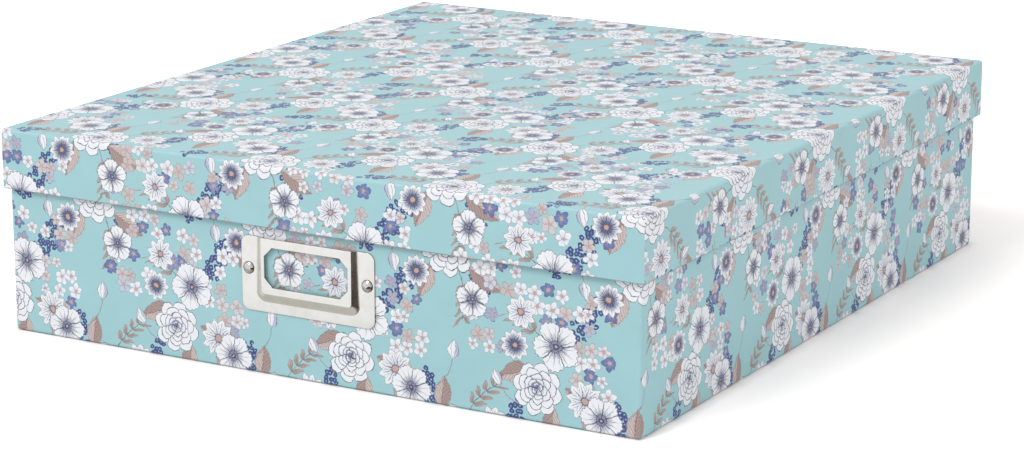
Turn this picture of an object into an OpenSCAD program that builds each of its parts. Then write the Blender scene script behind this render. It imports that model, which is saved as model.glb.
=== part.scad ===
// Paper-covered storage box with a lift-off lid and a metal label holder.
// Origin: middle of the underside. +X to the right, +Y to the back, +Z up.

/* [Base] */
// Width of the base over its paper
base_w = 331; // [220:1:420]
// Depth of the base over its paper, front to back
base_d = 370; // [240:1:460]
// Height of the base from the table to its rim
base_h = 95; // [85:1:150]
// Radius of the upright corners of the base
base_corner_r = 2; // [1:0.1:4]
// How far the covering paper turns down inside the rim
base_turn_in = 18; // [8:0.5:24]
// How far the covering paper turns in underneath
foot_turn_in = 15; // [8:0.5:25]
// Bare strip round the sheet that closes the underside
foot_margin = 3; // [1:0.5:6]
// Height of the covering paper that shows above the wall lining
lining_drop = 4; // [1:0.5:6]

/* [Lid] */
// Height of the lid's skirt over its paper, from top face to rim
skirt_h = 28.5; // [20:0.5:36]
// Gap between the lid's skirt and the base, each side
lid_gap = 0.5; // [0.3:0.05:1.5]
// Radius of the upright corners of the lid
lid_corner_r = 2; // [1:0.1:4]

/* [Board and paper] */
// Thickness of the greyboard
board_t = 1.6; // [1.2:0.1:3]
// Thickness of the printed covering paper with its glue
wrap_t = 0.25; // [0.2:0.05:0.4]
// Flat that eases the folds along the top of the lid and the foot of the base
fold_ease = 0.9; // [0.5:0.1:1.2]
// Thickness of the lining paper
lining_t = 0.2; // [0.15:0.05:0.4]
// Thickness of the gummed tape that stays the corners
stay_t = 0.12; // [0.08:0.01:0.15]
// Length of each leg of a corner tape, along the wall
stay_leg = 14; // [8:1:20]
// Bare board above and below a corner tape
stay_margin = 1.5; // [1.2:0.1:4]
// Gap left round each lining sheet that lies flat
sheet_fit = 0.4; // [0.2:0.1:1]

/* [Label holder] */
// Width of the label holder over its flanges
holder_w = 70; // [60:1:90]
// Height of the label holder
holder_h = 34.5; // [32:0.5:40]
// Gap from the lid's rim down to the label holder
holder_drop = 4.9; // [2:0.1:12]
// Thickness of the holder's sheet metal
metal_t = 0.5; // [0.3:0.1:0.8]
// Depth of the pocket behind the holder's front plate
pocket_depth = 1.5; // [1:0.1:2]
// Width of the flange at each side
side_flange = 7.5; // [7:0.1:8.5]
// Width of the flange at the bottom
bottom_flange = 4.9; // [3:0.1:6]
// Run of the sloping step between flange and front plate
step_run = 3.8; // [1.5:0.1:4]
// Radius of the holder's four corners
holder_corner_r = 4; // [1:0.1:4.5]
// Metal left at each side of the window
window_side = 1.8; // [1.2:0.1:5]
// Metal left above the window
window_top = 4.1; // [2.5:0.1:5]
// Metal left below the window
window_bottom = 3.4; // [2.5:0.1:5]
// Chamfer of the window's corners
window_chamfer = 4.2; // [2:0.1:5.5]

/* [Split pins] */
// Distance from the holder's side edge in to a pin
pin_inset = 3.8; // [3.4:0.1:4.2]
// Distance from the holder's top edge down to the pins
pin_drop = 15; // [10:0.5:20]
// Diameter of a pin's domed head
pin_head_d = 5.8; // [4:0.1:6.4]
// Height of the dome
pin_head_h = 1.4; // [0.8:0.1:2]
// Diameter of the holes that the pins go through
pin_hole_d = 2.6; // [2.4:0.1:3.2]
// Width of a pin's legs
pin_leg_w = 1.8; // [1.2:0.1:2]
// Thickness of each leg
pin_leg_t = 0.45; // [0.3:0.05:0.6]
// Length of each leg after it is bent over inside
pin_leg_l = 8; // [5:0.5:12]

/* [Hidden] */
$fn = 48;

aqua = [0.58, 0.78, 0.80];
greyboard = [0.62, 0.60, 0.56];
kraft = [0.72, 0.58, 0.42];
cream = [0.93, 0.91, 0.86];
nickel = [0.78, 0.74, 0.68];

// An offset chamfer is smaller by this share of the paper's thickness
board_ease = fold_ease - (2 - sqrt(2)) * wrap_t;

// Base, from the outside in
base_board_w = base_w - 2 * wrap_t;
base_board_d = base_d - 2 * wrap_t;
base_board_r = base_corner_r - wrap_t;
base_board_z = 2 * wrap_t;
base_board_top = base_h - wrap_t;
base_in_w = base_board_w - 2 * board_t;
base_in_d = base_board_d - 2 * board_t;
floor_z = base_board_z + board_t;
turn_in_z = base_h - base_turn_in;
wall_front_in = base_in_d / 2 - lining_t;

// Lid, from the inside out
lid_wall = board_t + 2 * wrap_t;
lid_w = base_w + 2 * (lid_gap + lid_wall);
lid_d = base_d + 2 * (lid_gap + lid_wall);
lid_board_w = lid_w - 2 * wrap_t;
lid_board_d = lid_d - 2 * wrap_t;
lid_board_r = lid_corner_r - wrap_t;
lid_in_w = lid_board_w - 2 * board_t;
lid_in_d = lid_board_d - 2 * board_t;
panel_z = base_h + lining_t;
box_h = panel_z + board_t + wrap_t;
rim_z = box_h - skirt_h;

// Label holder, in its own frame: y = 0 on the wall, +y out of the box
holder_z = rim_z - holder_drop - holder_h;
plate_out = pocket_depth + metal_t;
step_half_w = holder_w / 2 - side_flange;
window_w = 2 * (step_half_w - step_run - window_side);
window_low = bottom_flange + step_run + window_bottom;
window_high = holder_h - window_top;
pin_spacing = holder_w - 2 * pin_inset;
pin_z = holder_z + holder_h - pin_drop;
through = 40;
sliver = 0.01;

// A rectangle with rounded corners, centred
module rounded_plan(w, d, r) {
    square([w - 2 * r, d], center = true);
    square([w, d - 2 * r], center = true);
    for (sx = [-1, 1], sy = [-1, 1])
        translate([sx * (w / 2 - r), sy * (d / 2 - r)]) circle(r);
}

// A block with rounded upright corners between two heights
module block(w, d, r, z_low, z_high) {
    translate([0, 0, z_low]) linear_extrude(z_high - z_low) rounded_plan(w, d, r);
}

// Cuts the edges round a block at one height to a flat at 45 degrees
module ease_edges(w, d, z, ease) {
    side = ease * sqrt(2);
    for (s = [-1, 1]) {
        translate([0, s * d / 2, z]) rotate([45, 0, 0]) cube([w + 2, side, side], center = true);
        translate([s * w / 2, 0, z]) rotate([0, 45, 0]) cube([side, d + 2, side], center = true);
    }
}

// A square-cornered block between two heights
module box(w, d, z_low, z_high) {
    translate([-w / 2, -d / 2, z_low]) cube([w, d, z_high - z_low]);
}

// A thin wall all round, square inside: t is its thickness
module lining_ring(w, d, t, z_low, z_high) {
    difference() {
        box(w, d, z_low, z_high);
        box(w - 2 * t, d - 2 * t, z_low - 1, z_high + 1);
    }
}

// Moves its child to both pins, on the outer face of the front wall
module at_pins() {
    for (side = [-1, 1])
        translate([side * pin_spacing / 2, -base_d / 2, pin_z]) children();
}

// The holes for both pins, right through the front wall
module pin_holes() {
    at_pins() rotate([90, 0, 0]) cylinder(d = pin_hole_d, h = through, center = true);
}

// Tape folded round one corner of a board tray
module corner_stay(w, d, r, sx, sy, z_low, z_high) {
    intersection() {
        difference() {
            block(w + 2 * stay_t, d + 2 * stay_t, r + stay_t, z_low, z_high);
            block(w, d, r, z_low - 1, z_high + 1);
        }
        translate([sx * w / 2, sy * d / 2, (z_low + z_high) / 2])
            cube([2 * stay_leg, 2 * stay_leg, z_high - z_low], center = true);
    }
}

module base_stay(sx, sy) {
    color(kraft) corner_stay(base_board_w, base_board_d, base_board_r, sx, sy,
        base_board_z + stay_margin, base_board_top - stay_margin);
}

module lid_stay(sx, sy) {
    color(kraft) corner_stay(lid_board_w, lid_board_d, lid_board_r, sx, sy,
        rim_z + wrap_t + stay_margin, box_h - wrap_t - stay_margin);
}

module base_board() {
    color(greyboard) difference() {
        block(base_board_w, base_board_d, base_board_r, base_board_z, base_board_top);
        box(base_in_w, base_in_d, floor_z, base_h + 1);
        ease_edges(base_board_w, base_board_d, base_board_z, board_ease);
        pin_holes();
    }
}

// Printed paper: round the walls, over the rim and in under the floor
module base_wrap() {
    color(aqua) difference() {
        union() {
            difference() {
                block(base_w, base_d, base_corner_r, wrap_t, base_h);
                difference() {
                    block(base_board_w, base_board_d, base_board_r, base_board_z, base_board_top);
                    ease_edges(base_board_w, base_board_d, base_board_z, board_ease);
                }
                ease_edges(base_w, base_d, wrap_t, fold_ease);
                box(base_in_w - 2 * wrap_t, base_in_d - 2 * wrap_t, base_h - 2 * wrap_t, base_h + 1);
                box(base_w - 2 * foot_turn_in, base_d - 2 * foot_turn_in, 0, 3 * wrap_t);
            }
            lining_ring(base_in_w, base_in_d, wrap_t, turn_in_z, base_h);
        }
        for (sx = [-1, 1], sy = [-1, 1]) base_stay(sx, sy);
        pin_holes();
    }
}

module base_bottom_paper() {
    color(aqua) box(base_w - 2 * foot_margin, base_d - 2 * foot_margin, 0, wrap_t);
}

// Lining strip round the inside, stepped over the edge of the turned-in paper
module base_wall_lining() {
    color(cream) difference() {
        union() {
            lining_ring(base_in_w, base_in_d, lining_t, floor_z, turn_in_z);
            lining_ring(base_in_w, base_in_d, wrap_t + lining_t, turn_in_z - lining_t, turn_in_z);
            lining_ring(base_in_w - 2 * wrap_t, base_in_d - 2 * wrap_t, lining_t,
                turn_in_z - lining_t, base_h - lining_drop);
        }
        pin_holes();
    }
}

module base_floor_lining() {
    inset = 2 * (lining_t + sheet_fit);
    color(cream) box(base_in_w - inset, base_in_d - inset, floor_z, floor_z + lining_t);
}

module lid_board() {
    color(greyboard) difference() {
        block(lid_board_w, lid_board_d, lid_board_r, rim_z + wrap_t, box_h - wrap_t);
        box(lid_in_w, lid_in_d, rim_z - 1, panel_z);
        ease_edges(lid_board_w, lid_board_d, box_h - wrap_t, board_ease);
    }
}

// Printed paper: over the top, down the skirt and up inside it to the panel
module lid_wrap() {
    color(aqua) difference() {
        union() {
            difference() {
                block(lid_w, lid_d, lid_corner_r, rim_z, box_h);
                difference() {
                    block(lid_board_w, lid_board_d, lid_board_r, rim_z + wrap_t, box_h - wrap_t);
                    ease_edges(lid_board_w, lid_board_d, box_h - wrap_t, board_ease);
                }
                ease_edges(lid_w, lid_d, box_h, fold_ease);
                box(lid_in_w - 2 * wrap_t, lid_in_d - 2 * wrap_t, rim_z - 1, rim_z + 2 * wrap_t);
            }
            lining_ring(lid_in_w, lid_in_d, wrap_t, rim_z, panel_z);
        }
        for (sx = [-1, 1], sy = [-1, 1]) lid_stay(sx, sy);
    }
}

module lid_lining() {
    inset = 2 * (wrap_t + sheet_fit);
    color(cream) box(lid_in_w - inset, lid_in_d - inset, base_h, panel_z);
}

// Stands a shape drawn as x, height and outwards on the front wall
module on_front_wall() {
    translate([0, -base_d / 2, holder_z]) rotate([90, 0, 0]) children();
}

// The raised pocket: wide on the wall, narrower at the front plate
module pocket_form(half_w, low, high, depth, run) {
    hull() {
        translate([-half_w, low, -sliver]) cube([2 * half_w, high - low, sliver]);
        translate([run - half_w, low + run, depth - sliver])
            cube([2 * (half_w - run), high - low - run, sliver]);
    }
}

// Window outline: a rectangle with its four corners cut off
module window_plan() {
    x = window_w / 2;
    y = (window_high - window_low) / 2;
    c = window_chamfer;
    translate([0, (window_low + window_high) / 2])
        polygon([[c - x, -y], [x - c, -y], [x, c - y], [x, y - c],
            [x - c, y], [c - x, y], [-x, y - c], [-x, c - y]]);
}

module label_holder() {
    half_w = step_half_w;
    low = bottom_flange;
    color(nickel) difference() {
        on_front_wall() difference() {
            union() {
                translate([0, holder_h / 2]) linear_extrude(metal_t)
                    rounded_plan(holder_w, holder_h, holder_corner_r);
                pocket_form(half_w, low, holder_h, plate_out, step_run);
            }
            pocket_form(half_w - metal_t, low + metal_t, holder_h + 1, pocket_depth, step_run);
            translate([0, 0, pocket_depth - 1]) linear_extrude(metal_t + 2) window_plan();
            translate([-holder_w, -holder_h, -1]) cube([2 * holder_w, 3 * holder_h, 1]);
        }
        pin_holes();
    }
}

// Domed head outside, two legs through the wall, bent up and down inside
module split_pin(side) {
    head_r = pin_head_d / 2;
    ball_r = (head_r * head_r + pin_head_h * pin_head_h) / (2 * pin_head_h);
    inside = base_d / 2 - wall_front_in;
    color(nickel) translate([side * pin_spacing / 2, -base_d / 2, pin_z]) {
        rotate([90, 0, 0]) intersection() {
            translate([0, 0, metal_t + pin_head_h - ball_r]) sphere(ball_r, $fn = 64);
            translate([0, 0, metal_t]) cylinder(r = head_r, h = pin_head_h + 1);
        }
        for (up = [0, 1]) mirror([0, 0, up]) {
            translate([-pin_leg_w / 2, -metal_t - pin_head_h / 4, 0])
                cube([pin_leg_w, inside + pin_leg_t + metal_t + pin_head_h / 4, pin_leg_t]);
            translate([-pin_leg_w / 2, inside, 0]) cube([pin_leg_w, pin_leg_t, pin_leg_l]);
        }
    }
}

base_board();
base_stay(-1, -1);  // base_stay_front_left
base_stay(1, -1);  // base_stay_front_right
base_stay(-1, 1);  // base_stay_back_left
base_stay(1, 1);  // base_stay_back_right
base_wrap();
base_bottom_paper();
base_wall_lining();
base_floor_lining();
lid_board();
lid_stay(-1, -1);  // lid_stay_front_left
lid_stay(1, -1);  // lid_stay_front_right
lid_stay(-1, 1);  // lid_stay_back_left
lid_stay(1, 1);  // lid_stay_back_right
lid_wrap();
lid_lining();
label_holder();
split_pin(-1);  // split_pin_left
split_pin(1);  // split_pin_right
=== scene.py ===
# Photo storage box with a lift-off lid: papers, print, metal fittings, light and camera
import math

import bmesh
import bpy
from mathutils import Matrix, Vector


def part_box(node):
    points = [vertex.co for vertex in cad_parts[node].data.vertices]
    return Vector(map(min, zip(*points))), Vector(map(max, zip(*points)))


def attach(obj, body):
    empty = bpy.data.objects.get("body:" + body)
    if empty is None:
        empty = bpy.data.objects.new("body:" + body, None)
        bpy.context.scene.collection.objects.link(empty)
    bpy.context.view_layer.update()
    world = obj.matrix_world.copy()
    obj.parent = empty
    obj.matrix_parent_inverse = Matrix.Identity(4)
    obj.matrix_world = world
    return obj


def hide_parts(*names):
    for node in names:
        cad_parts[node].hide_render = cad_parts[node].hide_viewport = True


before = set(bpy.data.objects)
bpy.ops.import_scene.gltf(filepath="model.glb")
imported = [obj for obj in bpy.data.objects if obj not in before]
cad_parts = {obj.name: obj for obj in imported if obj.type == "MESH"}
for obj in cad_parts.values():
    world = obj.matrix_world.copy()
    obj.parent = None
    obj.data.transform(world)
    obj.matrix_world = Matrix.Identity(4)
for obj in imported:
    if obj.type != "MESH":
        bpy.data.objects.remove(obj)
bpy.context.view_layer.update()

mm = 0.001
touch = 1e-6          # points closer than this are the same point


# Shader helpers

class Val:
    # A socket that can be used in Python expressions
    def __init__(self, tree, out):
        self.tree = tree
        self.out = out

    def node(self, kind, settings=None, inputs=None, out=0):
        return addNode(self.tree, kind, settings, inputs, out)

    def math(self, operation, a, b=None, c=None, clamp=False):
        values = {i: v for i, v in enumerate((a, b, c)) if v is not None}
        return self.node("ShaderNodeMath", {"operation": operation, "use_clamp": clamp}, values)

    def __add__(self, other):
        return self.math("ADD", self, other)

    def __radd__(self, other):
        return self.math("ADD", self, other)

    def __sub__(self, other):
        return self.math("SUBTRACT", self, other)

    def __rsub__(self, other):
        return self.math("SUBTRACT", other, self)

    def __mul__(self, other):
        return self.math("MULTIPLY", self, other)

    def __rmul__(self, other):
        return self.math("MULTIPLY", self, other)

    def __abs__(self):
        return self.math("ABSOLUTE", self)

    def times(self, k, plus, clamp=False):
        return self.math("MULTIPLY_ADD", self, k, plus, clamp)

    def cos(self):
        return self.math("COSINE", self)

    def root(self):
        return self.math("SQRT", self)

    def wrap(self, low, high):
        return self.math("WRAP", self, high, low)

    def least(self, other):
        return self.math("MINIMUM", self, other)

    def most(self, other):
        return self.math("MAXIMUM", self, other)


def addNode(tree, kind, settings=None, inputs=None, out=0):
    # Settings first, then the values or links of the sockets
    made = tree.nodes.new(kind)
    for name, value in (settings or {}).items():
        setattr(made, name, value)
    for key, value in (inputs or {}).items():
        socket = made.inputs[key]
        if isinstance(value, Val):
            tree.links.new(value.out, socket)
        else:
            socket.default_value = value
    return Val(tree, made.outputs[out] if len(made.outputs) > out else None)


def vec(operation, a, b=None, c=None, out=0):
    values = {i: v for i, v in enumerate((a, b, c)) if v is not None}
    return a.node("ShaderNodeVectorMath", {"operation": operation}, values, out)


def mixed(low, high, share):
    return share.node("ShaderNodeMix", {"data_type": "RGBA"}, {0: share, 6: low, 7: high}, 2)


def parts(value, kind="XYZ"):
    # The three numbers of a vector, or of a colour with kind "Color"
    first = value.node("ShaderNodeSeparate" + kind, {}, {0: value})
    return [Val(value.tree, out) for out in first.out.node.outputs]


def newMaterial(name):
    made = bpy.data.materials.new(name)
    made.use_nodes = True
    return made, made.node_tree, made.node_tree.nodes["Principled BSDF"]


def feed(tree, shader, **values):
    for name, value in values.items():
        socket = shader.inputs[name.replace("_", " ")]
        if isinstance(value, Val):
            tree.links.new(value.out, socket)
        else:
            socket.default_value = value


def place(tree):
    return addNode(tree, "ShaderNodeTexCoord", out=3)


def noise(vector, scale, detail=2.0, rough=0.5, stretch=None, out=0):
    if stretch:
        vector = vec("MULTIPLY", vector, stretch)
    return vector.node("ShaderNodeTexNoise", {},
                       {"Vector": vector, "Scale": scale, "Detail": detail, "Roughness": rough}, out)


def relief(height, strength, distance, under=None):
    values = {"Height": height, "Strength": strength, "Distance": distance}
    if under:
        values["Normal"] = under
    return height.node("ShaderNodeBump", {}, values)


# Modelling helpers

def newMesh(name, bm, modifiers=(), smooth=35):
    mesh = bpy.data.meshes.new(name)
    bm.to_mesh(mesh)
    bm.free()
    piece = bpy.data.objects.new(name, mesh)
    bpy.context.collection.objects.link(piece)
    for face in mesh.polygons:
        face.use_smooth = True
    mesh.set_sharp_from_angle(angle=math.radians(smooth))
    for kind, settings in modifiers:
        made = piece.modifiers.new(kind.lower(), kind)
        for key, value in settings.items():
            setattr(made, key, value)
    return piece


def easedEdges(width):
    # A modifier that rounds the sharp edges of a metal piece a little
    sharp = math.radians(50)
    return "BEVEL", {"width": width, "segments": 2, "limit_method": "ANGLE", "angle_limit": sharp}


def faceOut(bm, isOutside):
    # All faces agree, and the one that isOutside picks points the way it says
    bmesh.ops.recalc_face_normals(bm, faces=bm.faces)
    bm.normal_update()
    if not isOutside(bm):
        bmesh.ops.reverse_faces(bm, faces=bm.faces)


def roundedPlan(bm, halfX, halfY, radius, steps):
    # One flat face with rounded corners, whose points remember their corner and direction
    bmesh.ops.create_grid(bm, x_segments=1, y_segments=1, size=1)
    for v in bm.verts:
        v.co = (math.copysign(halfX, v.co.x), math.copysign(halfY, v.co.y), 0)
    bmesh.ops.bevel(bm, geom=bm.verts[:], offset=radius, offset_type="OFFSET", affect="VERTICES",
                    segments=steps, profile=0.5, material=-1)
    number = bm.verts.layers.int.new("number")
    heads = []
    for i, v in enumerate(bm.verts):
        sideX, sideY = math.copysign(1, v.co.x), math.copysign(1, v.co.y)
        headX = (v.co.x - sideX * (halfX - radius)) / radius
        headY = (v.co.y - sideY * (halfY - radius)) / radius
        heads.append((sideX, sideY, headX, headY))
        v[number] = i
    return heads


def sweepRings(bm, edges, heads, stops):
    # Extrudes a ring of edges through stops: half width, half depth, corner radius, height, travel
    number = bm.verts.layers.int["number"]
    travel = bm.verts.layers.float["travel"]
    for halfX, halfY, radius, z, gone in stops:
        grown = bmesh.ops.extrude_edge_only(bm, edges=edges)["geom"]
        edges = [g for g in grown if isinstance(g, bmesh.types.BMEdge) and g.is_boundary]
        placeRing(bm, [g for g in grown if isinstance(g, bmesh.types.BMVert)], heads,
                  (halfX, halfY, radius, z, gone), number, travel)
    return edges


def placeRing(bm, verts, heads, stop, number, travel):
    halfX, halfY, radius, z, gone = stop
    for v in verts:
        sideX, sideY, headX, headY = heads[v[number]]
        v.co = (sideX * (halfX - radius) + headX * radius, sideY * (halfY - radius) + headY * radius, z)
        v[travel] = gone


squareCorner, tightCorner = 0.1 * mm, 0.06 * mm      # radii that look square but keep their faces


def bend(halfX, halfY, corner, z, radius, start, gone, steps):
    # A quarter turn: "start" gives the way out (plan and height) before and after the turn
    stops = []
    (outA, upA), (outB, upB) = start
    for i in range(1, steps + 1):
        turn = math.pi / 2 * i / steps
        out = radius * (outA * math.sin(turn) + outB * (1 - math.cos(turn)))
        up = radius * (upA * math.sin(turn) + upB * (1 - math.cos(turn)))
        left = max(corner + out, tightCorner)
        stops.append((halfX + out, halfY + out, left, z + up, gone + radius * turn))
    return stops


# Covering papers: printed sheets that go round the board trays

wrapLow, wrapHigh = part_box("lid_wrap")
lidPaper = {
    "halfX": wrapHigh.x, "halfY": wrapHigh.y, "top": wrapHigh.z, "rim": wrapLow.z,
    "corner": 2.0 * mm, "cornerSteps": 6,
    "fold": 1.5 * mm, "foldSteps": 4,          # where the panel turns into the skirt
    "wall": 2.1 * mm, "rimRound": 0.75 * mm, "rimSteps": 3,
    "insideTop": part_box("lid_lining")[0].z + 0.15 * mm, "paper": 0.25 * mm,
    "flap": 13.0 * mm,                         # reach of the front and back flaps round the corners
}
wrapLow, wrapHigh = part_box("base_wrap")
basePaper = {
    "halfX": wrapHigh.x, "halfY": wrapHigh.y, "top": wrapHigh.z, "foot": wrapLow.z,
    "corner": 2.0 * mm, "cornerSteps": 6,
    "fold": 1.2 * mm, "foldSteps": 3,          # where the walls turn in under the floor
    "wall": 2.1 * mm, "rimRound": 0.75 * mm, "rimSteps": 3,
    "turnIn": 18.0 * mm, "footTurnIn": 15.0 * mm, "paper": 0.25 * mm,
    "lap": 11.0 * mm,                          # overlap of the strip's two ends
}


def rimStops(size, z, gone, way):
    # Over the edge of a wall, "way" +1 for an upper rim and -1 for a lower one
    r, steps = size["rimRound"], size["rimSteps"]
    x, y, corner = size["halfX"], size["halfY"], size["corner"]
    stops = [(x, y, corner, z - way * r, gone)]
    stops += bend(x, y, corner, z - way * r, r, ((0, way), (-1, 0)), gone, steps)
    gone += r * math.pi / 2 + size["wall"] - 2 * r
    inX, inY = x - size["wall"] + r, y - size["wall"] + r
    stops.append((inX, inY, squareCorner, z, gone))
    stops += bend(inX, inY, squareCorner, z, r, ((-1, 0), (0, -way)), gone, steps)
    return stops, gone + r * math.pi / 2


def growPaper(name, size, first, stops, keepPanel, mapFace):
    bm = bmesh.new()
    x, y, corner, z, gone = first
    heads = roundedPlan(bm, x, y, corner, size["cornerSteps"])
    bm.verts.layers.float.new("travel")
    placeRing(bm, bm.verts, heads, first, bm.verts.layers.int["number"], bm.verts.layers.float["travel"])
    ring = bm.edges[:]
    if not keepPanel:
        bmesh.ops.delete(bm, geom=bm.faces[:], context="FACES_ONLY")
    sweepRings(bm, ring, heads, stops)

    def wallOut(sheet):
        wall = max(sheet.faces, key=lambda f: f.calc_area() * (abs(f.normal.z) < 0.1))
        return wall.normal.dot(wall.calc_center_median()) > 0
    faceOut(bm, wallOut)
    print(name, "faces:", len(bm.faces))

    number, travel = bm.verts.layers.int["number"], bm.verts.layers.float["travel"]
    layer = bm.loops.layers.uv.new("sheet")
    for face in bm.faces:
        points = [(heads[l.vert[number]], l.vert[travel], l.vert.co) for l in face.loops]
        for loop, spot in zip(face.loops, mapFace(size, points, len(face.verts) > 4)):
            loop[layer].uv = spot
    return newMesh(name, bm, [
        ("SOLIDIFY", {"thickness": size["paper"], "offset": -1, "use_even_offset": True}),
        ("WEIGHTED_NORMAL", {"weight": 100, "keep_sharp": True}),
    ])


def around(head):
    # How far round its corner a point sits: 0 on the front or back, a quarter turn on the sides
    return math.atan2(abs(head[2]), abs(head[3]))


def crossSheet(size, points, isPanel):
    # The lid's paper as it lay flat: the panel with the skirts folded out to its four sides
    if isPanel:
        return [(co.x, co.y) for head, gone, co in points]
    a, b, r = size["halfX"] - size["corner"], size["halfY"] - size["corner"], size["corner"]
    onFront = sum(around(head) for head, gone, co in points) / len(points) < math.pi / 4 + 0.01
    spots = []
    for head, gone, co in points:
        if onFront:
            across, along = a + r * around(head), size["halfY"] - size["fold"] + gone
        else:
            across, along = size["halfX"] - size["fold"] + gone, b + r * (math.pi / 2 - around(head))
        spots.append((head[0] * across, head[1] * along))
    return spots


def longStrip(size, points, isPanel):
    # The base's paper as it lay flat: one strip round the walls, joined at the back left corner
    a, b, r = size["halfX"] - size["corner"], size["halfY"] - size["corner"], size["corner"]
    quarter = r * math.pi / 2
    onBack = all(head[1] > 0 and around(head) < 0.01 for head, gone, co in points)
    spots = []
    for head, gone, co in points:
        if head[1] < 0:
            along = head[0] * (a + r * around(head))
        elif onBack and head[0] < 0:
            along = 3 * a + 2 * quarter + 2 * b
        else:
            along = head[0] * (a + quarter + 2 * b + r * (math.pi / 2 - around(head)))
        spots.append((along, gone))
    return spots


def makeLidPaper(size):
    fold, steps = size["fold"], size["foldSteps"]
    x, y, corner = size["halfX"] - fold, size["halfY"] - fold, size["corner"] - fold
    stops = bend(x, y, corner, size["top"], fold, ((1, 0), (0, -1)), 0, steps)
    gone = fold * math.pi / 2 + size["top"] - fold - size["rim"] - size["rimRound"]
    rim, gone = rimStops(size, size["rim"], gone, -1)
    stops += rim
    inner = rim[-1]
    stops.append((inner[0], inner[1], inner[2], size["insideTop"], gone + size["insideTop"] - inner[3]))
    return growPaper("lidPaper", size, (x, y, corner, size["top"], 0), stops, True, crossSheet)


def makeBasePaper(size):
    fold, steps = size["fold"], size["foldSteps"]
    x, y, corner = size["halfX"] - fold, size["halfY"] - fold, size["corner"] - fold
    low = size["foot"]
    turned = low + fold - fold * math.pi / 2
    stops = [(x, y, corner, low, turned)]
    stops += bend(x, y, corner, low, fold, ((1, 0), (0, 1)), turned, steps)
    rim, gone = rimStops(size, size["top"], size["top"] - size["rimRound"], 1)
    stops += rim
    inner = rim[-1]
    stops.append((inner[0], inner[1], inner[2], size["top"] - size["turnIn"],
                  gone + size["turnIn"] - size["rimRound"]))
    back = size["footTurnIn"] - fold
    first = (x - back, y - back, corner, low, turned - back)
    return growPaper("basePaper", size, first, stops, False, longStrip)


# Label holder: one stamped sheet, a raised front plate with a window, open at the top

plateLow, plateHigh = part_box("label_holder")
holder = {
    "halfX": plateHigh.x, "low": plateLow.z, "top": plateHigh.z, "wallY": plateHigh.y,
    "metal": 0.5 * mm, "raise": 1.5 * mm, "round": 4.0 * mm, "roundSteps": 5,
    "plateHalfX": 23.7 * mm, "plateLow": plateLow.z + 8.7 * mm, "plateRound": 1.2 * mm,
    "windowHalfX": 21.9 * mm, "cut": 4.2 * mm,
    "windowLow": plateLow.z + 12.1 * mm, "windowTop": plateHigh.z - 4.1 * mm,
    "edge": 0.12 * mm,
    # the step down to the flange, in millimetres: how far out from the plate, and how deep
    "step": ((-0.30, 0.0), (-0.05, 0.02), (0.20, 0.10), (0.45, 0.24), (1.30, 0.70),
             (2.15, 1.06), (2.85, 1.29), (3.40, 1.42), (3.80, 1.48), (4.1, 1.5)),
}


def windowHeights(size):
    # The height of the window's middle, and half of its own height
    return (size["windowTop"] + size["windowLow"]) / 2, (size["windowTop"] - size["windowLow"]) / 2


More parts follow.
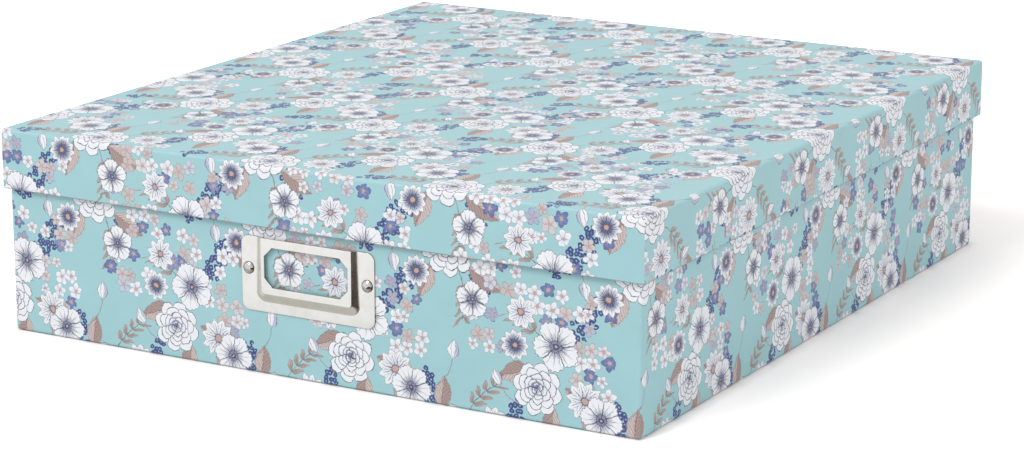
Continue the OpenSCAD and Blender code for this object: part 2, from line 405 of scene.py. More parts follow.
def makeHolder(size):
    bm = bmesh.new()
    outline = bmesh.ops.create_grid(bm, x_segments=1, y_segments=1, size=1)["verts"]
    out, deep = size["step"][0]
    halfX, low = size["plateHalfX"] + out * mm, size["plateLow"] - out * mm
    front, corner = size["wallY"] - size["metal"], size["plateRound"]
    for v in outline:
        v.co = (math.copysign(halfX, v.co.x), front - size["raise"], size["top"] if v.co.y > 0 else low)
    bmesh.ops.bevel(bm, geom=[v for v in outline if v.co.z < size["top"] - mm], offset=corner,
                    offset_type="OFFSET", affect="VERTICES", segments=size["roundSteps"],
                    profile=0.5, material=-1)
    number = bm.verts.layers.int.new("number")
    heads = []
    for i, v in enumerate(bm.verts):
        v[number] = i
        side = math.copysign(1, v.co.x)
        if v.co.z > size["top"] - mm:
            heads.append((side, side, 0, True))
        else:
            heads.append((side, (v.co.x - side * (halfX - corner)) / corner,
                          (v.co.z - low - corner) / corner, False))
    bmesh.ops.delete(bm, geom=bm.faces[:], context="FACES_ONLY")
    edges = [e for e in bm.edges if min(v.co.z for v in e.verts) < size["top"] - mm]
    # the window's cut-off corners, and the plate between it and the outline
    window = bmesh.ops.create_circle(bm, segments=8, radius=1)["verts"]
    x, cut = size["windowHalfX"], size["cut"]
    middle, tall = windowHeights(size)
    for v in window:
        turn = math.atan2(v.co.y, v.co.x) + math.pi / 8
        flat, up = math.cos(turn), math.sin(turn)
        nearSide = abs(flat) > abs(up)
        v.co = (math.copysign(x if nearSide else x - cut, flat), front - size["raise"],
                middle + math.copysign(tall - cut if nearSide else tall, up))
    bmesh.ops.triangle_fill(bm, use_beauty=True, use_dissolve=False, edges=bm.edges[:])
    stops = [(size["plateHalfX"] + o * mm, size["plateLow"] - o * mm, corner + (o - out) * mm, d * mm)
             for o, d in size["step"][1:]]
    stops.append((size["halfX"], size["low"], size["round"], size["raise"]))
    for halfX, low, corner, deep in stops:
        grown = bmesh.ops.extrude_edge_only(bm, edges=edges)["geom"]
        moved = [g for g in grown if isinstance(g, bmesh.types.BMVert)]
        edges = [g for g in grown if isinstance(g, bmesh.types.BMEdge)
                 and all(v in moved for v in g.verts)]
        for v in moved:
            side, headX, headZ, isEnd = heads[v[number]]
            v.co = (side * halfX if isEnd else side * (halfX - corner) + headX * corner,
                    front - size["raise"] + deep,
                    size["top"] if isEnd else low + corner + headZ * corner)
    tips = [v for v in bm.verts if abs(v.co.x) > size["halfX"] - touch and v.co.z > size["top"] - touch]
    bmesh.ops.bevel(bm, geom=tips, offset=size["round"], offset_type="OFFSET", affect="VERTICES",
                    segments=size["roundSteps"], profile=0.5, material=-1)
    faceOut(bm, lambda sheet: max(sheet.faces, key=lambda f: f.calc_area()).normal.y < 0)
    print("holder faces:", len(bm.faces))
    return newMesh("labelHolder", bm, [
        ("SOLIDIFY", {"thickness": size["metal"], "offset": -1, "use_even_offset": True}),
        easedEdges(size["edge"]),
        ("WEIGHTED_NORMAL", {"weight": 100, "keep_sharp": True}),
    ])


# Split pins: a domed head outside, two legs bent up and down inside

pinLow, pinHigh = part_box("split_pin_right")
pins = {
    "spacing": pinLow.x + pinHigh.x, "z": (pinLow.z + pinHigh.z) / 2,
    "headY": pinLow.y, "legsY": pinHigh.y,
    "headRadius": (pinHigh.x - pinLow.x) / 2, "headHigh": 1.4 * mm, "domeSteps": 8, "turns": 32,
    # the rolled foot of the dome: shares of the radius, and heights
    "foot": ((0.82, 0.0), (0.95, 0.03 * mm), (1.0, 0.22 * mm)),
    "legWide": 1.8 * mm, "legThick": 0.45 * mm, "legLong": (pinHigh.z - pinLow.z) / 2, "legTip": 0.8 * mm,
    "legBend": 0.5 * mm, "bendSteps": 4, "legGap": 0.01 * mm, "sunk": 0.1 * mm, "edge": 0.06 * mm,
}


def extruded(bm, face):
    # The new end face, with walls grown behind it
    grown = bmesh.ops.extrude_face_region(bm, geom=[face])["geom"]
    return [g for g in grown if isinstance(g, bmesh.types.BMFace)][0]


def makePin(name, side, size):
    bm = bmesh.new()
    r, high = size["headRadius"], size["headHigh"]
    ball = (r * r + high * high) / (2 * high)
    reach = math.asin(r / ball)
    x, y, z = side * size["spacing"] / 2, size["headY"] + high, size["z"]
    # the dome's side view, turned once round; its foot rolls under
    profile = [(share * r, up) for share, up in size["foot"]]
    for i in range(1, size["domeSteps"] + 1):
        turn = reach * (1 - i / size["domeSteps"])
        out, up = ball * math.sin(turn), high - ball * (1 - math.cos(turn))
        profile.append((min(out, r), max(up, size["foot"][-1][1]) if i == 1 else up))
    chain = [bm.verts.new((x + out, y - up, z)) for out, up in profile]
    edges = [bm.edges.new(pair) for pair in zip(chain, chain[1:])]
    bmesh.ops.spin(bm, geom=chain + edges, cent=(x, y, z), axis=(0, 1, 0), angle=2 * math.pi,
                   steps=size["turns"], use_merge=True)
    bmesh.ops.remove_doubles(bm, verts=bm.verts, dist=touch)
    bmesh.ops.holes_fill(bm, edges=bm.edges[:], sides=0)
    wide, thick, curve = size["legWide"] / 2, size["legThick"], size["legBend"]
    start, turned = y + size["sunk"], size["legsY"] - thick - curve
    step = math.pi / 2 / size["bendSteps"]
    for up in (1, -1):
        # through the wall, round a small bend, then flat on the lining
        corners = [bm.verts.new((x + sx * wide, start, z + up * (size["legGap"] + sz * thick)))
                   for sx, sz in ((-1, 0), (1, 0), (1, 1), (-1, 1))]
        end = extruded(bm, bm.faces.new(corners))
        bmesh.ops.translate(bm, verts=end.verts[:], vec=(0, turned - start, 0))
        pivot = (x, turned, z + up * (thick + curve))
        for i in range(size["bendSteps"]):
            end = extruded(bm, end)
            bmesh.ops.rotate(bm, verts=end.verts[:], cent=pivot, matrix=Matrix.Rotation(up * step, 3, "X"))
        straight = size["legLong"] - thick - curve
        for travel, narrow in ((straight - size["legTip"], 1.0), (size["legTip"], 0.6)):
            end = extruded(bm, end)
            bmesh.ops.translate(bm, verts=end.verts[:], vec=(0, 0, up * travel))
            for v in end.verts:
                v.co.x = x + (v.co.x - x) * narrow
    bmesh.ops.recalc_face_normals(bm, faces=bm.faces)
    return newMesh(name, bm, [easedEdges(size["edge"])])


# Print: flowers drawn on the sheet's own flat map, in millimetres, one motif laid over the next

inks = {
    "ground": (0.334, 0.558, 0.592, 1),
    "white": (0.775, 0.788, 0.825, 1),
    "shade": (0.400, 0.425, 0.560, 1),
    "line": (0.042, 0.042, 0.074, 1),
    "softLine": (0.270, 0.240, 0.270, 1),
    "taupe": (0.380, 0.285, 0.265, 1),
    "taupePale": (0.560, 0.475, 0.455, 1),
    "taupeDark": (0.175, 0.110, 0.100, 1),
    "peach": (0.500, 0.360, 0.330, 1),
    "navy": (0.050, 0.070, 0.205, 1),
    "navyPale": (0.130, 0.170, 0.370, 1),
}
drawing = {
    "repeat": (94.0, 84.0),       # size of one repeat, millimetres
    "sharp": 6.0,                 # how quickly an ink's edge ends, per millimetre
    "wobble": 2.2, "wobbleScale": 0.36, "wobbleDetail": 3.0, "wobbleRough": 0.6,
    "queue": 1e-7,                # so small a shift that it only puts the motifs in order
}
# how wide the pen outlines each motif, millimetres
pen = {
    "fullBloom": 0.38, "daisy": 0.24, "anemone": 0.34, "leafSprig": 0.22, "closedBud": 0.28,
    "broadLeaf": 0.26, "blossomPatch": 0.22,
}


def inside(depth, shift=0.0):
    # 1 where depth is over shift, with an edge as soft as printed ink
    return depth.times(drawing["sharp"], 0.5 - drawing["sharp"] * shift, clamp=True)


def near(distance, width):
    # 1 where distance is under width
    return distance.times(-drawing["sharp"], 0.5 + drawing["sharp"] * width, clamp=True)


def spot(sheet, x, y, turn=0.0):
    # A motif's own coordinates, the same in every repeat of the sheet
    half = [side / 2 for side in drawing["repeat"]] + [1]
    local = vec("WRAP", vec("SUBTRACT", sheet, (x, y, 0)), half, [-side for side in half])
    if turn:
        local = local.node("ShaderNodeVectorRotate", {"rotation_type": "Z_AXIS", "invert": True},
                           {"Vector": local, "Angle": math.radians(turn)})
    return local


def spotXY(sheet, at):
    x, y, z = parts(spot(sheet, *at))
    return x, y


def spotPolar(sheet, at):
    local = spot(sheet, at[0], at[1])
    x, y, z = parts(local)
    return vec("LENGTH", local, out=1), y.math("ARCTAN2", y, x)


bloom = {"sizes": (1, 0.78, 0.58, 0.40, 0.24), "twist": 1.9, "litFrom": 2.2, "hatch": 19, "hatchWide": 2.8}


def fullBloom(paper, sheet, at, radius, rings):
    # A round flower of overlapping rings of scalloped petals, hatched towards its heart
    far, angle = spotPolar(sheet, at)
    turn = math.radians(at[2])
    dim = angle.times(1, -bloom["litFrom"]).cos().times(0.45, 0.55, clamp=True)
    hatch = near(abs(angle.times(bloom["hatch"], 0.4).cos()) * far, bloom["hatchWide"])
    for i, petals in enumerate(rings):
        size = radius * bloom["sizes"][i]
        outer = i < 2
        lobe = abs(angle.times(petals / 2, turn + bloom["twist"] * i).cos())
        rim = lobe.root().times(size * 0.26, size * 0.76) if outer else lobe.times(size * 0.2, size * 0.82)
        depth = rim - far
        cover = inside(depth)
        split = near(lobe * far, 0.26 + 0.045 * petals)
        line = (cover - inside(depth, pen["fullBloom"])).most(split * cover)
        low = far.times(-5.0 / size, 3.75, clamp=True)
        body = mixed(inks["white"], inks["shade"], low * dim)
        tint, hatched = (0.25, 0.62) if i < 3 else (0.7, 0.3)
        body = mixed(body, inks["navyPale"], low * dim * tint)
        body = mixed(body, inks["line"], line.most(hatch * low * hatched) * 0.92)
        paper = mixed(paper, body, cover)
    return paper


def daisy(paper, sheet, at, radius, petals, width, root="shade", heart="peach"):
    # Long pointed petals round a small disc, "root" being the tint at their lower ends
    far, angle = spotPolar(sheet, at)
    step = angle.math("PINGPONG", angle.times(1, math.radians(at[2]) + 2 * math.pi), math.pi / petals)
    core = radius * 0.2
    middle, reach = (radius + core * 0.6) / 2, (radius - core * 0.6) / 2
    along = far.times(1 / reach, -middle / reach)
    across = step * far
    depth = (along * along).times(-width, width) - across
    cover = inside(depth)
    creases = near(across, 0.15).most(near(abs(across - 0.5 * width), 0.08))
    creases = creases * far.times(-0.5, 0.42 * radius, clamp=True)
    line = (cover - inside(depth, pen["daisy"])).most(creases * cover)
    reached = 1.35 if root == "shade" else 1.9
    body = mixed(inks["white"], inks[root], far.times(-2.6 / radius, reached, clamp=True) * 0.9)
    body = mixed(body, inks["line"], line * 0.85)
    paper = mixed(paper, body, cover)
    disc = mixed(inks[heart], inks["taupeDark"], near(abs(far - core), 0.35))
    return mixed(paper, disc, near(far, core + 0.15))


def anemone(paper, sheet, at, radius, petals):
    # Broad frilled petals with long veins and a dark, ringed heart
    far, angle = spotPolar(sheet, at)
    turn = math.radians(at[2])
    lobe = abs(angle.times(petals / 2, turn).cos())
    frill = angle.times(petals * 6.0, 0.6).cos()
    depth = lobe.root().times(radius * 0.28, radius * 0.72) + frill * (radius * 0.026) - far
    cover = inside(depth)
    long = near(abs(angle.times(petals * 1.5, turn + 0.7).cos()) * far, 1.35)
    long = long * far.times(-3 / radius, 2.7, clamp=True)
    short = near(abs(angle.times(petals * 3.5, turn + 0.2).cos()) * far, 2.4)
    short = short * far.times(-5 / radius, 2.9, clamp=True)
    split = near(lobe * far, 0.60)
    line = (cover - inside(depth, pen["anemone"])).most(split.most(long.most(short) * 0.7) * cover)
    body = mixed(inks["white"], inks["shade"], far.times(-3.4 / radius, 1.9, clamp=True) * 0.55)
    body = mixed(body, inks["line"], line * 0.88)
    paper = mixed(paper, body, cover)
    ring = near(abs(far - radius * 0.25), 0.34) * angle.times(22, 0).cos().times(2.5, 0.4, clamp=True)
    paper = mixed(paper, inks["navy"], ring.most(near(far, radius * 0.13)))
    return mixed(paper, inks["peach"], near(far, radius * 0.06))


def leafSprig(paper, sheet, at, length, pitch, leaf, width, curve=0.0, fill="taupe", slant=50.0):
    # A curved stem with a pair of pointed leaves at every step
    x, y = spotXY(sheet, at)
    y = y - x * x * curve
    side = abs(y)
    lean = math.radians(slant)
    root = side.times(-1 / math.tan(lean), x)
    across = abs(root.wrap(-pitch / 2, pitch / 2)) * math.sin(lean)
    along = side.times(2 / (leaf * math.sin(lean)), -1.0)
    grown = root.times(-0.45 / length, 1.0)
    depth = (along * along).times(-width, width) * grown - across
    keep = inside(root, pitch * 0.5) * near(root, length)
    cover = inside(depth) * keep
    rib = (cover - inside(depth, pen["leafSprig"]) * keep).most(near(across, 0.10) * cover)
    body = mixed(inks[fill], inks["taupePale"], along.times(0.8, 0.1, clamp=True))
    body = mixed(body, inks["taupeDark"], rib * 0.75)
    paper = mixed(paper, body, cover)
    stem = near(side, 0.18) * inside(x, -pitch * 0.6) * near(x, length)
    return mixed(paper, inks["taupeDark"], stem * 0.9)


def scattered(sheet, pitch, uneven):
    # Spots strewn over the sheet: where the nearest one lies, and a colour of its own to draw lots from
    cells = addNode(sheet.tree, "ShaderNodeTexVoronoi", {"voronoi_dimensions": "2D"},
                    {"Vector": sheet, "Scale": 1 / pitch, "Randomness": uneven}).out.node.outputs
    return Val(sheet.tree, cells["Position"]), Val(sheet.tree, cells["Color"])


def whole(depth):
    # 1 over zero and 0 under it, all at once, so that a spot is drawn whole or not at all
    return depth.times(400, 0.0, clamp=True)


def berryPatch(paper, sheet, pitch, *clusters):
    # Sprays of tiny dark buds, each with a pale spot, inside leaning ovals
    middle, lots = scattered(sheet, pitch, 0.75)
    far = vec("LENGTH", vec("SUBTRACT", sheet, middle), out=1)
    keep = None
    for x, y, turn, long, wide in clusters:
        oval = vec("LENGTH", vec("MULTIPLY", spot(middle, x, y, turn), (1 / long, 1 / wide, 0)), out=1)
        here = whole(1 - oval)
        keep = here if keep is None else keep.most(here)
    body = mixed(inks["navy"], inks["navyPale"], near(far, 0.24 * pitch))
    body = mixed(body, inks["white"], near(far, 0.08 * pitch))
    return mixed(paper, body, near(far, 0.52 * pitch) * keep)


def closedBud(paper, sheet, at, length, width, stem, curl, fill="white"):
    # A closed bud on a long thin curved stem
    x, y = spotXY(sheet, at)
    along = x.times(2 / length, -1.0)
    side = abs(y)
    swell = (along * along).times(-1, 1).most(0.0)
    depth = swell * along.times(-0.25 * width, width) - side
    cover = inside(depth) * near(abs(along), 1.0)
    fold = near(abs(side - swell * (width * 0.4)), 0.12)
    line = (cover - inside(depth, pen["closedBud"])).most(fold * cover * 0.8)
    body = mixed(inks[fill], inks["shade"], y.times(-0.5, 0.0, clamp=True))
    body = mixed(body, inks["line"], line * 0.85)
    ring = (x * x + (y - curl) * (y - curl)).root()
    arc = near(abs(ring - abs(curl)), 0.17) * near(x, 0.2) * inside(x, -stem)
    arc = arc * near(y * math.copysign(1, curl), abs(curl))
    paper = mixed(paper, inks["softLine"], arc)
    return mixed(paper, body, cover)


def broadLeaf(paper, sheet, at, length, width, fill="taupe"):
    # A broad toothed leaf with slanting veins
    x, y = spotXY(sheet, at)
    along = x.times(2 / length, -1.0)
    side = abs(y)
    swell = (along * along).times(-1, 1).most(0.0)
    slant = side.times(-1.3, x).wrap(-0.95, 0.95)
    depth = swell * along.times(-0.22 * width, width) + slant * 0.30 - side
    cover = inside(depth) * near(abs(along), 1.0)
    veins = near(abs(slant), 0.20) * inside(depth, 0.4)
    rib = (cover - inside(depth, pen["broadLeaf"])).most(near(side, 0.18) * cover).most(veins * 0.8)
    body = mixed(inks[fill], inks["taupePale"], y.times(0.7, 0.4, clamp=True))
    body = mixed(body, inks["taupeDark"], rib * 0.8)
    return mixed(paper, body, cover)


def blossomPatch(paper, sheet, pitch, *clusters):
    # Small five-petalled flowers scattered inside round patches; some are dark
    middle, lots = scattered(sheet, pitch, 0.6)
    local = vec("SUBTRACT", sheet, middle)
    far = vec("LENGTH", local, out=1)
    x, y, z = parts(local)
    chance, other, third = parts(lots, "Color")
    angle = y.math("ARCTAN2", y, x) + chance * (2 * math.pi)
    size = chance.times(0.20 * pitch, 0.42 * pitch)
    lobe = abs(angle.times(2.5, 0).cos())
    depth = size * lobe.times(0.42, 0.60) - far
    keep = None
    for cx, cy, reach in clusters:
        here = whole(reach - vec("LENGTH", spot(middle, cx, cy), out=1))
        keep = here if keep is None else keep.most(here)
    cover = inside(depth) * keep
    line = (cover - inside(depth, pen["blossomPatch"]) * keep).most(near(lobe * far, 0.22) * cover)
    body = mixed(inks["white"], inks["navyPale"], inside(other, 0.72))
    body = mixed(body, inks["taupePale"], near(other, 0.22))
    body = mixed(body, inks["shade"], far.times(-1.2 / pitch, 0.5, clamp=True))
    body = mixed(body, inks["line"], line * 0.75)
    body = mixed(body, inks["peach"], near(far, 0.13 * pitch))
    return mixed(paper, body, cover)


# Where the motifs lie in one repeat, in drawing order from the back: x, y and turn first, or for a patch
# its pitch and then its places, each with x, y and reach, or x, y, turn, half length and half width
bouquets = {
    "leafSprig": (
        ((-34, -10, 168), 20, 4.6, 6.4, 1.6, 0.012), ((-16, -24, -72), 19, 4.4, 6.0, 1.5, -0.014),
        ((-12, 0, 58), 20, 4.4, 6.0, 1.5, -0.012), ((24, 38, 140), 18, 4.6, 6.2, 1.5, 0.012),
        ((42, 10, -52), 22, 4.6, 6.2, 1.5, 0.012),
    ),
    "berryPatch": (
        (2.5, (-33, 8, 112, 9, 5), (-43, -29, 25, 9, 4.5), (43, 45, 42, 9, 5), (10, 0, 70, 10, 4.5),
         (33, -14, 30, 7, 4), (-6, -26, 120, 8, 4)),
    ),
    "broadLeaf": (
        ((-12, -20, -28), 19, 4.6), ((-30, -20, -112), 18, 4.4), ((20, 24, 200), 19, 4.6),
        ((38, 16, -12), 19, 4.4), ((-26, -2, 82), 16, 4.2), ((30, 8, -100), 17, 4.4),
        ((-46, 10, 150), 15, 4.0),
    ),
    "closedBud": (
        ((-20, 22, 84), 9, 2.9, 15, 18), ((4, 14, 118), 8, 2.6, 12, -14), ((44, -18, -80), 9, 2.8, 14, 16),
    ),
    "blossomPatch": (
        (7.0, (5, -20, 12), (-43, 24, 11), (-4, 36, 11), (46, 34, 10), (26, -30, 11), (-44, -34, 8)),
    ),
    "daisy": (
        ((0, -5, 10), 9.2, 12, 2.3), ((-38, -25, 40), 7.4, 11, 2.0, "navy"), ((45, 13, 25), 9.4, 11, 2.4),
        ((11, 33, 0), 7.2, 11, 2.0, "navy"), ((14, -36, 30), 7.6, 9, 2.3),
    ),
    "anemone": (((-41, 6, 20), 10.2, 6), ((31, 35, 70), 11.2, 5), ((-10, -34, 130), 8.4, 5)),
    "fullBloom": (((-22, -12, 15), 13.6, (9, 8, 7, 6, 5)), ((22, 15, 50), 12.0, (8, 7, 6, 5, 4))),
}
drawers = {
    "leafSprig": leafSprig, "berryPatch": berryPatch, "broadLeaf": broadLeaf, "closedBud": closedBud,
    "blossomPatch": blossomPatch, "daisy": daisy, "anemone": anemone, "fullBloom": fullBloom,
}


def makePrint():
    # The whole design as one node group, so that all printed papers share it
    group = bpy.data.node_groups.new("floralPrint", "ShaderNodeTree")
    group.interface.new_socket("Sheet", in_out="INPUT", socket_type="NodeSocketVector")
    group.interface.new_socket("Color", in_out="OUTPUT", socket_type="NodeSocketColor")
    sheet = addNode(group, "NodeGroupInput")
    # the hand's wobble
    waver = noise(sheet, drawing["wobbleScale"], drawing["wobbleDetail"], drawing["wobbleRough"], out=1)
    waver = vec("SUBTRACT", waver, (0.5, 0.5, 0.5))
    drawn = vec("MULTIPLY_ADD", waver, (drawing["wobble"],) * 3, sheet)
    paper = inks["ground"]
    for name, draw in drawers.items():
        for values in bouquets[name]:
            paper = draw(paper, drawn, *values)
            # the next motif waits for this one, which keeps the shader's memory short
            drawn = vec("MULTIPLY_ADD", paper, (drawing["queue"],) * 3, drawn)
    addNode(group, "NodeGroupOutput", {}, {0: paper})
    print("print drawn:", len(group.nodes), "nodes")
    return group


# Finishes

# Noise scales count per metre
paperFinish = {
    "rough": 0.46, "roughSpread": 0.10, "gloss": 0.3, "cloud": 55, "mottle": 0.05,
    "grain": 2400, "grainHigh": 0.012 * mm, "wave": 26, "waveHigh": 0.10 * mm,
    "scuffWide": 0.9 * mm, "scuff": 0.35, "scuffScale": 420, "scuffColour": (0.78, 0.84, 0.85, 1),
    # painted shade along the lid's lower rim: its width, strength and colour
    "soilWide": 0.8 * mm, "soil": 0.65, "soilColour": (0.10, 0.13, 0.14, 1),
}


def edgeDistance(tree, size):
    # How far a point of the box's skin lies from the nearest edge of its outer shape
    x, y, z = parts(place(tree))
    toX = size["halfX"] - abs(x)
    toY = size["halfY"] - abs(y)
    toZ = abs(z - size["top"])
    return toX.least(toY).most(toX.most(toY).least(toZ))


def roughness(uneven, values):
    # Around "rough", by half of "roughSpread" each way as the noise goes from 0 to 1
    return uneven.times(values["roughSpread"], values["rough"] - values["roughSpread"] / 2)


def printedPaper(name, size, design, seams=None):
    # Without seams it is a flat sheet, printed straight across
    values = paperFinish
    made, tree, shader = newMaterial(name)
    spotHere = place(tree)
    flat = addNode(tree, "ShaderNodeUVMap", {"uv_map": "sheet"}) if seams else spotHere
    flat = vec("MULTIPLY", flat, (1 / mm,) * 3)
    printed = addNode(tree, "ShaderNodeGroup", {"node_tree": design}, {0: flat})
    cloudy = noise(spotHere, values["cloud"], 3.0)
    fine = noise(spotHere, values["grain"], 2.0, 0.6)
    # pale scuffs where the paper folds over the board's edges, and uneven ink
    worn = edgeDistance(tree, size).times(-1 / values["scuffWide"], 1.0, clamp=True)
    rubbed = noise(spotHere, values["scuffScale"], 4.0, 0.65).times(5.0, -2.4, clamp=True)
    worn = worn * rubbed * values["scuff"]
    tone = (cloudy + fine * 0.5).times(values["mottle"] * 2, 1 - values["mottle"] * 1.5)
    colour = vec("MULTIPLY", printed, tone.node("ShaderNodeCombineXYZ", {}, {0: tone, 1: tone, 2: tone}))
    colour = mixed(colour, values["scuffColour"], worn)
    if "rim" in size:
        # the lid's lower edge is darkened with painted shade, where the rim's rounding falls in shadow over
        # the base
        x, y, z = parts(spotHere)
        soiled = (z - size["rim"]).times(-1 / values["soilWide"], 1.0, clamp=True)
        colour = mixed(colour, values["soilColour"], soiled * values["soil"])
    rough = roughness(cloudy, values) + worn * 0.25
    bumps = relief(noise(spotHere, values["wave"], 1.0), 0.6, values["waveHigh"])
    if seams:
        bumps = relief(seams(tree, size), 0.8, size["paper"] * 0.6, bumps)
    bumps = relief(fine, 0.5, values["grainHigh"], bumps)
    feed(tree, shader, Base_Color=colour, Roughness=rough, Specular_IOR_Level=values["gloss"], Normal=bumps)
    return made


seam = {"skin": 0.8 * mm, "skinSharp": 3000, "flapSharp": 1500, "lapSharp": 2500}   # sharpness per metre


def onSkin(gap):
    # 1 on a wall's outer skin, where gap is the way from there to the wall's own plane
    return (gap + seam["skin"]).times(seam["skinSharp"], 0.5, clamp=True)


def lidSeams(tree, size):
    # The front and back flaps carry on round the corners under the side flaps
    x, y, z = parts(place(tree))
    under = (abs(y) - (size["halfY"] - size["flap"])).times(seam["flapSharp"], 0.5, clamp=True)
    return under * onSkin(abs(x) - size["halfX"])


def baseSeams(tree, size):
    # The strip's own end laps over its start on the back wall, near the left corner
    x, y, z = parts(place(tree))
    lap = (x + (size["halfX"] - size["lap"])).times(-seam["lapSharp"], 0.5, clamp=True)
    return lap * onSkin(y - size["halfY"])


holderFinish = {
    "colour": (0.825, 0.815, 0.785, 1), "dark": (0.62, 0.585, 0.53, 1), "rough": 0.17, "roughSpread": 0.10,
    "brush": (60, 60, 2600), "brushHigh": 0.004 * mm, "dent": 90, "dentHigh": 0.05 * mm, "stain": 160,
    # the cut edges' dark colour and width: bare steel, darkened further as painted shade round the sheet's
    # outline and window
    "rawEdgeAndShade": (0.20, 0.185, 0.165, 1), "rawEdgeShadeWide": 0.10 * mm,
}
pinFinish = {
    "colour": (0.66, 0.65, 0.62, 1), "dark": (0.42, 0.40, 0.36, 1), "rough": 0.15, "roughSpread": 0.08,
    "brush": (500, 500, 500), "brushHigh": 0.002 * mm, "dent": 500, "dentHigh": 0.01 * mm, "stain": 160,
    # painted shade round the dome's rolled foot: its colour, where it starts and where it is full
    "footShade": (0.10, 0.09, 0.08, 1), "footShadeFrom": 1.5 * mm, "footShadeTo": 2.9 * mm,
}


def rawEdgesAndShade(tree, size, wide):
    # 1 on the sheet's cut edges, round the outline and round the window, which are drawn dark: partly bare
    # steel, partly painted shade
    x, y, z = parts(place(tree))
    side, r = abs(x), size["round"]
    low = (size["low"] + r - z).most(z - (size["top"] - r)).most(0.0)
    out = (side - (size["halfX"] - r)).most(0.0)
    rim = (out * out + low * low).root() - (r - wide)
    middle, tall = windowHeights(size)
    up = abs(z - middle)
    slanted = (side + up - (size["windowHalfX"] + tall - size["cut"])) * math.sqrt(0.5)
    hole = (side - size["windowHalfX"]).most(up - tall).most(slanted)
    return rim.most(wide - hole).times(0.5 / wide, 0.5, clamp=True)


def nickelPlate(name, values):
    made, tree, shader = newMaterial(name)
    here = place(tree)
    streak = noise(here, 1.0, 3.0, 0.6, values["brush"])
    stain = noise(here, values["stain"], 4.0, 0.6)
    shade = stain.times(2.4, -1.05, clamp=True) * 0.45
    colour = mixed(values["colour"], values["dark"], shade)
    if "footShade" in values:
        # painted shade, darker towards the dome's rolled foot
        x, y, z = parts(here)
        out, up = abs(x) - pins["spacing"] / 2, z - pins["z"]
        wide = values["footShadeTo"] - values["footShadeFrom"]
        ring = (out * out + up * up).root().times(1 / wide, -values["footShadeFrom"] / wide, clamp=True)
        colour = mixed(colour, values["footShade"], ring * ring)
    if "rawEdgeAndShade" in values:
        # bare steel on the cut edges, darkened further as painted shade round the outline and the window
        colour = mixed(colour, values["rawEdgeAndShade"], rawEdgesAndShade(tree, holder, values["rawEdgeShadeWide"]))
    rough = roughness(streak * 0.5 + stain * 0.5, values)
    bumps = relief(noise(here, values["dent"], 1.0), 0.5, values["dentHigh"])
    bumps = relief(streak, 0.5, values["brushHigh"], bumps)
    feed(tree, shader, Base_Color=colour, Metallic=1.0, Roughness=rough, Normal=bumps)
    return made


liningFinish = {
    "colour": (0.80, 0.785, 0.74, 1), "fleck": (0.66, 0.635, 0.57, 1), "rough": 0.78, "roughSpread": 0.12,
    "fibre": 900, "fibreLong": (1.0, 0.35, 1.0), "fibreHigh": 0.03 * mm, "cloud": 45,
    "wave": 22, "waveHigh": 0.15 * mm,
}


def liningSheet(name, values):
    made, tree, shader = newMaterial(name)
    here = place(tree)
    fibre = noise(here, values["fibre"], 5.0, 0.7, values["fibreLong"])
    cloudy = noise(here, values["cloud"], 3.0, 0.6)
    flecks = (fibre * 0.6 + cloudy * 0.4).times(2.0, -0.85, clamp=True)
    colour = mixed(values["colour"], values["fleck"], flecks * 0.55)
    bumps = relief(noise(here, values["wave"], 1.0), 0.5, values["waveHigh"])
    bumps = relief(fibre, 0.5, values["fibreHigh"], bumps)
    feed(tree, shader, Base_Color=colour, Roughness=roughness(fibre, values), Normal=bumps)
    return made


boardFinish = {
    "colour": (0.300, 0.275, 0.235, 1), "pale": (0.47, 0.44, 0.385, 1), "dark": (0.13, 0.115, 0.10, 1),
    "rough": 0.88, "roughSpread": 0.10, "high": 0.05 * mm,
    "pulp": 260, "fleck": 1400, "fleckLong": (1.0, 0.6, 0.6),
}


def greyBoard(name, values):
    made, tree, shader = newMaterial(name)
    here = place(tree)
    pulp = noise(here, values["pulp"], 6.0, 0.72)
    fleck = noise(here, values["fleck"], 3.0, 0.7, values["fleckLong"])
    colour = mixed(values["colour"], values["pale"], pulp.times(2.6, -0.95, clamp=True) * 0.7)
    colour = mixed(colour, values["dark"], fleck.times(-9.0, 3.3, clamp=True) * 0.6)
    colour = mixed(colour, values["pale"], fleck.times(9.0, -5.9, clamp=True) * 0.6)
    bumps = relief(pulp + fleck * 0.5, 0.6, values["high"])
    feed(tree, shader, Base_Color=colour, Roughness=roughness(pulp, values), Normal=bumps)
    return made


tapeFinish = {
    "colour": (0.44, 0.275, 0.145, 1), "pale": (0.56, 0.37, 0.21, 1), "dark": (0.26, 0.15, 0.075, 1),
    "rough": 0.62, "roughSpread": 0.14, "fibre": (900, 900, 170), "fibreHigh": 0.03 * mm, "cloud": 75,
}


def kraftTape(name, values):
    made, tree, shader = newMaterial(name)
    here = place(tree)
    fibre = noise(here, 1.0, 5.0, 0.7, values["fibre"])
    cloudy = noise(here, values["cloud"], 3.0, 0.6)
    colour = mixed(values["colour"], values["pale"], fibre.times(3.0, -1.3, clamp=True) * 0.7)
    colour = mixed(colour, values["dark"], cloudy.times(-4.0, 1.7, clamp=True) * 0.4)
    bumps = relief(fibre, 0.6, values["fibreHigh"])
    feed(tree, shader, Base_Color=colour, Roughness=roughness(fibre, values), Normal=bumps)
    return made


def dress(material, *names):
    # A carried-over node keeps its shape and gets a finish
    for name in names:
        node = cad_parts[name]
        if not node.material_slots:
            node.data.materials.append(material)
        for materialSlot in node.material_slots:
            materialSlot.link = "OBJECT"
            materialSlot.material = material


# The pieces, each on its body and in place of its plain node

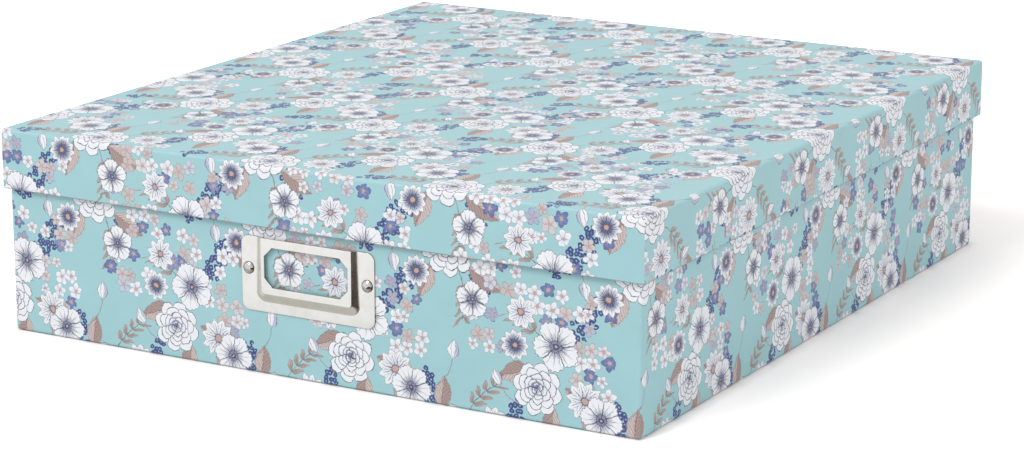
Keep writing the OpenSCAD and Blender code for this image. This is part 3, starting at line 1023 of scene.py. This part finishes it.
design = makePrint()
lid = makeLidPaper(lidPaper)
base = makeBasePaper(basePaper)
lid.data.materials.append(printedPaper("lidPrintedPaper", lidPaper, design, lidSeams))
base.data.materials.append(printedPaper("basePrintedPaper", basePaper, design, baseSeams))
label = makeHolder(holder)
label.data.materials.append(nickelPlate("satinNickel", holderFinish))
polished = nickelPlate("polishedNickel", pinFinish)
pinLeft = makePin("splitPinLeft", -1, pins)
pinRight = makePin("splitPinRight", 1, pins)
for pin in (pinLeft, pinRight):
    pin.data.materials.append(polished)
print("pieces modelled")

for piece, body, node, slot in (
        (lid, "lid", "lid_wrap", "printed_paper"), (base, "base", "base_wrap", "printed_paper"),
        (label, "base", "label_holder", "nickel"), (pinLeft, "base", "split_pin_left", "pin_nickel"),
        (pinRight, "base", "split_pin_right", "pin_nickel")):
    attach(piece, body)
    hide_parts(node)

stays = [body + "_stay_" + end + "_" + side
         for body in ("base", "lid") for end in ("front", "back") for side in ("left", "right")]
dress(greyBoard("greyBoard", boardFinish), "base_board", "lid_board")
dress(kraftTape("kraftTape", tapeFinish), *stays)
dress(liningSheet("liningPaper", liningFinish), "base_wall_lining", "base_floor_lining", "lid_lining")
dress(printedPaper("undersidePrintedPaper", basePaper, design), "base_bottom_paper")
print("nodes dressed")


# Stage, light and camera

view = {
    "location": (0.7277, -1.2722, 0.4112), "pitch": 75.424, "heading": 29.859,
    "lens": 108.13, "sensor": 36.0,
}
floorFinish = {
    "colour": (0.82, 0.82, 0.82, 1), "mirrored": (0.91, 0.91, 0.91, 1), "seen": (0.985, 0.945, 0.93, 1),
    "halfWide": 15.0, "contact": 6 * mm,       # the fade starts over this strip round the box's foot
    "fadeMiddle": (-0.02, 0.085, 0), "fadeFrom": 0.15, "fadeRise": 1.85,
}
sky = 0.77
lamps = {      # place, width and power
    "keyLamp": ((-1.17, -3.15, 3.6), 2.0, 96.0),
    "fillLamp": ((2.2, -0.6, 1.0), 1.6, 8.0),
}
lampAim = (0, 0, 0.05)
# flat studio cards on the floor that only mirroring surfaces see: place, width, length, turn, colour
cards = {
    "darkCard": ((0.100, -0.42, 0.001), 0.12, 0.40, 16.0, (0.046, 0.031, 0.021, 1)),
    # the grey card lies where the box shades the floor in front of it: painted shade that only reflections
    # show
    "floorShadeCard": ((-0.09, -0.222, 0.001), 0.50, 0.058, 0.0, (0.56, 0.53, 0.48, 1)),
}


def makeCamera(values):
    data = bpy.data.cameras.new("photoCamera")
    data.lens = values["lens"]
    data.sensor_width = values["sensor"]
    data.clip_start = 0.01
    camera = bpy.data.objects.new("photoCamera", data)
    camera.location = values["location"]
    camera.rotation_euler = (math.radians(values["pitch"]), 0, math.radians(values["heading"]))
    bpy.context.collection.objects.link(camera)
    bpy.context.scene.camera = camera


def makeLamp(name, location, size, power):
    data = bpy.data.lights.new(name, "AREA")
    data.shape = "DISK"
    data.size = size
    data.energy = power
    lamp = bpy.data.objects.new(name, data)
    lamp.location = location
    lamp.rotation_euler = (Vector(lampAim) - Vector(location)).to_track_quat("-Z", "Y").to_euler()
    bpy.context.collection.objects.link(lamp)


def rayKinds(tree, *kinds):
    # 1 for each of the kinds of ray, and 0 for all others
    rays = addNode(tree, "ShaderNodeLightPath").out.node.outputs
    return [Val(tree, rays["Is " + kind + " Ray"]) for kind in kinds]


def makeFloor(values):
    bm = bmesh.new()
    bmesh.ops.create_grid(bm, x_segments=1, y_segments=1, size=values["halfWide"])
    floor = newMesh("floor", bm)
    made, tree, shader = newMaterial("floorWhite")
    seen, mirrored = rayKinds(tree, "Camera", "Glossy")
    pale = mixed(values["colour"], values["mirrored"], mirrored)
    # the floor fades into the white background, from just outside the box's foot
    spotHere = place(tree)
    x, y, z = parts(spotHere)
    clear = (abs(x) - basePaper["halfX"]).most(abs(y) - basePaper["halfY"])
    far = vec("LENGTH", vec("SUBTRACT", spotHere, values["fadeMiddle"]), out=1)
    fade = far.times(values["fadeRise"], -values["fadeFrom"] * values["fadeRise"], clamp=True)
    fade = fade * clear.times(1 / values["contact"], 0.0, clamp=True)
    feed(tree, shader, Base_Color=mixed(pale, values["seen"], seen),
         Roughness=1.0, Specular_IOR_Level=0.0, Emission_Strength=1.0,
         Emission_Color=mixed((0, 0, 0, 1), (1, 1, 1, 1), fade * seen))
    floor.data.materials.append(made)


def makeSky(strength):
    # An even sky, which is plain white where it is seen itself
    world = bpy.data.worlds.new("studio")
    world.use_nodes = True
    bpy.context.scene.world = world
    tree = world.node_tree
    seen, mirrored, through = rayKinds(tree, "Camera", "Glossy", "Transmission")
    white = seen.most(mirrored).most(through)
    feed(tree, tree.nodes["Background"], Color=(1, 1, 1, 1), Strength=white.times(1 - strength, strength))


def makeCard(name, location, wide, long, turn, colour):
    bm = bmesh.new()
    bmesh.ops.create_grid(bm, x_segments=1, y_segments=1, size=0.5)
    bmesh.ops.scale(bm, verts=bm.verts, vec=(wide, long, 1))
    bmesh.ops.rotate(bm, verts=bm.verts, matrix=Matrix.Rotation(math.radians(turn), 3, "Z"))
    bmesh.ops.translate(bm, verts=bm.verts, vec=location)
    card = newMesh(name, bm)
    made, tree, shader = newMaterial(name)
    feed(tree, shader, Base_Color=colour, Roughness=1.0, Specular_IOR_Level=0.0)
    card.data.materials.append(made)
    card.visible_camera = card.visible_diffuse = card.visible_shadow = card.visible_transmission = False


makeCamera(view)
makeFloor(floorFinish)
for name, values in cards.items():
    makeCard(name, *values)
makeSky(sky)
for name, values in lamps.items():
    makeLamp(name, *values)
print("stage, lamps and camera ready")

bpy.context.scene.view_settings.view_transform = "Standard"
